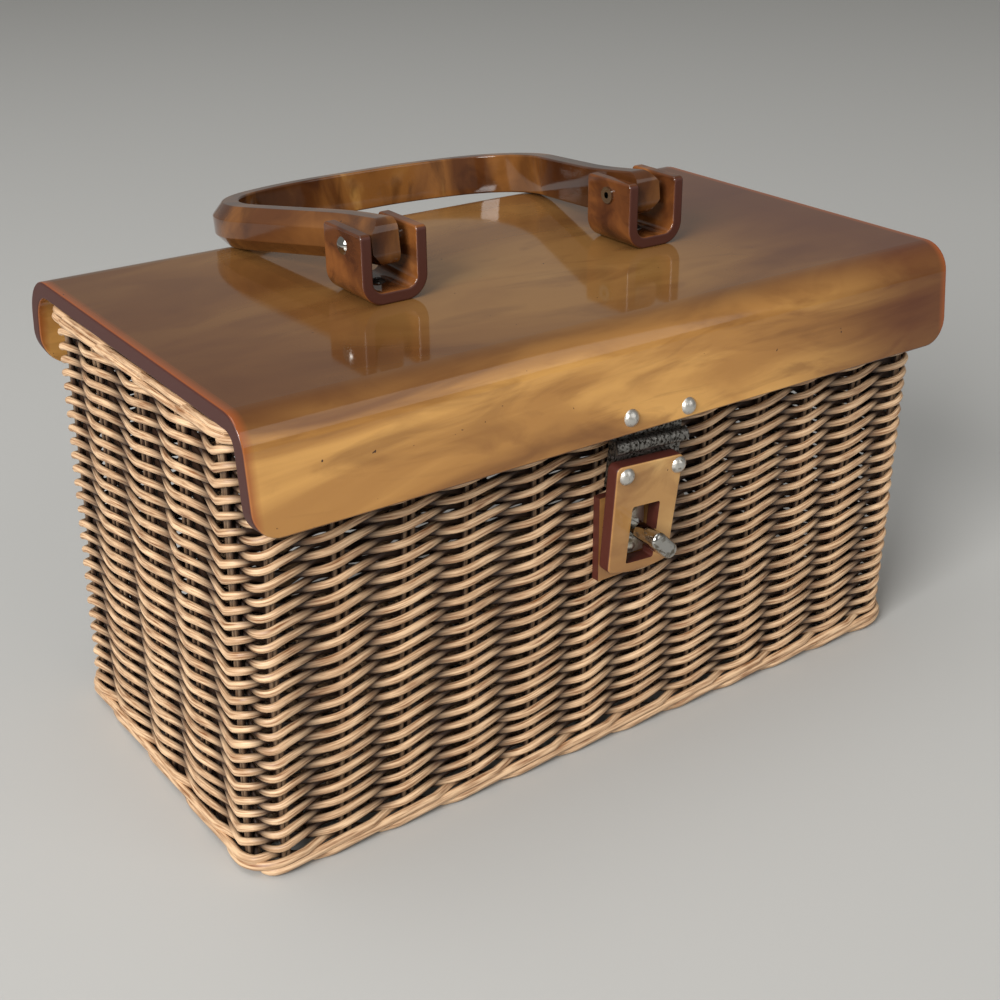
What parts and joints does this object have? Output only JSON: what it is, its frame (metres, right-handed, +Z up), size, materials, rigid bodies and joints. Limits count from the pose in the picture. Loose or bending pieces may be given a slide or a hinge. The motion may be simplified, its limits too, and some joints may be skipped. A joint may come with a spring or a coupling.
{
  "type": "basket box bag",
  "caption": "Woven reed box handbag with a bent acrylic lid hinged at the back, a swinging bail handle in channel brackets, and a front hasp held by a turn knob.",
  "frame": {"origin": "centre of the face that the basket stands on", "axes": "+X to the right along the bag's long side, +Y to the back, +Z up; the latch is at the front, at -Y"},
  "size_m": [0.2736, 0.1934, 0.1755],
  "materials": {
    "reed": "natural split reed, unvarnished, twined over paired stakes",
    "amber_sheet": "polished marbled amber acrylic with light scratches",
    "amber_bracket": "polished marbled amber acrylic, edges rubbed",
    "amber_handle": "polished marbled amber acrylic with bevelled edges",
    "amber_latch": "polished marbled amber acrylic",
    "bright_metal": "polished plated metal",
    "hinge_metal": "plated steel, worn",
    "rivet_metal": "satin rivet heads",
    "worn_plate": "tarnished plating"
  },
  "bodies": {
    "basket": {"woven_body": "reed", "rim_border": "reed", "foot_border": "reed", "woven_base": "reed", "lock_backing_plate": "amber_latch", "lock_base_plate": "worn_plate", "lock_inner_plate": "worn_plate", "lock_rivets": "worn_plate", "rear_hinge_left_basket_leaf": "hinge_metal", "rear_hinge_right_basket_leaf": "hinge_metal", "rear_hinge_left_pin": "hinge_metal", "rear_hinge_right_pin": "hinge_metal", "rear_hinge_basket_rivets": "rivet_metal"},
    "lid": {"lid_panel": "amber_sheet", "handle_bracket_left": "amber_bracket", "handle_bracket_right": "amber_bracket", "handle_pin_left": "bright_metal", "handle_pin_right": "bright_metal", "bracket_rivets": "hinge_metal", "latch_hinge_lid_leaf": "hinge_metal", "latch_hinge_pin": "hinge_metal", "latch_hinge_lid_rivets": "rivet_metal", "rear_hinge_left_lid_leaf": "hinge_metal", "rear_hinge_right_lid_leaf": "hinge_metal", "rear_hinge_lid_rivets": "rivet_metal"},
    "handle": {"handle": "amber_handle"},
    "hasp": {"hasp_plate": "amber_latch", "latch_hinge_hasp_leaf": "hinge_metal", "hasp_rivets": "rivet_metal"},
    "knob": {"turn_knob": "bright_metal", "knob_washer": "worn_plate"}
  },
  "joints": [
    {"name": "lid_open", "type": "hinge", "parent": "basket", "child": "lid", "pos_m": [0, 0.08013, 0.11199], "axis": [-1, 0, 0], "range_deg": [0, 105]},
    {"name": "hasp_swing", "type": "hinge", "parent": "lid", "child": "hasp", "pos_m": [0.0025, -0.07799, 0.11091], "axis": [-0.9981, 0.0063, 0.0607], "range_deg": [0, 110]},
    {"name": "handle_swing", "type": "hinge", "parent": "lid", "child": "handle", "pos_m": [-0.0012, -0.009, 0.1677], "axis": [1, 0, 0], "range_deg": [0, 195]},
    {"name": "lock_turn", "type": "hinge", "parent": "basket", "child": "knob", "pos_m": [-0.0003, -0.08, 0.0806], "axis": [0, -1, 0], "range_deg": [-45, 45]}
  ]
}
